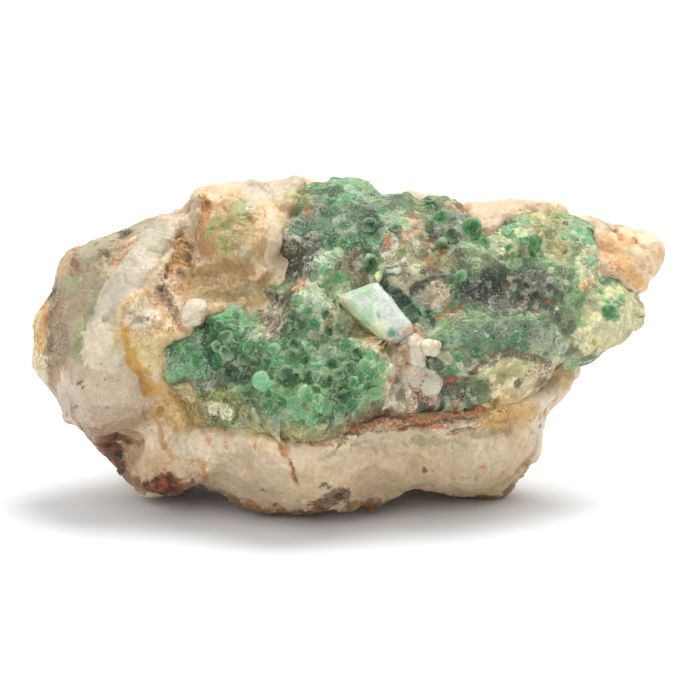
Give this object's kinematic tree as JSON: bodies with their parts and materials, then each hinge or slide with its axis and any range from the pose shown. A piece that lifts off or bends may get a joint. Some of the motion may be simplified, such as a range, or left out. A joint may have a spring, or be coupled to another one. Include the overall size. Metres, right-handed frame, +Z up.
{
  "type": "rough emerald specimen",
  "caption": "Hand specimen of rough emerald: a lumpy crust of intergrown green beryl grains and a pale block-shaped crystal on a broken, iron-stained cream host rock",
  "frame": {"origin": "centre of the bounding box, at the level of the flat feet that the stone rests on", "axes": "+X runs along the stone's longest extent, from the bare rock end to the pointed end; +Z is up as it rests in the picture; -Y faces the side with the crust"},
  "size_m": [0.0696, 0.0386, 0.036],
  "materials": {
    "host_rock": "matte",
    "emerald_crust": "satin",
    "pale_crystal": "satin"
  },
  "bodies": {
    "root": {"host_rock": "host_rock", "emerald_crust": "emerald_crust", "pale_crystal": "pale_crystal"}
  },
  "joints": []
}
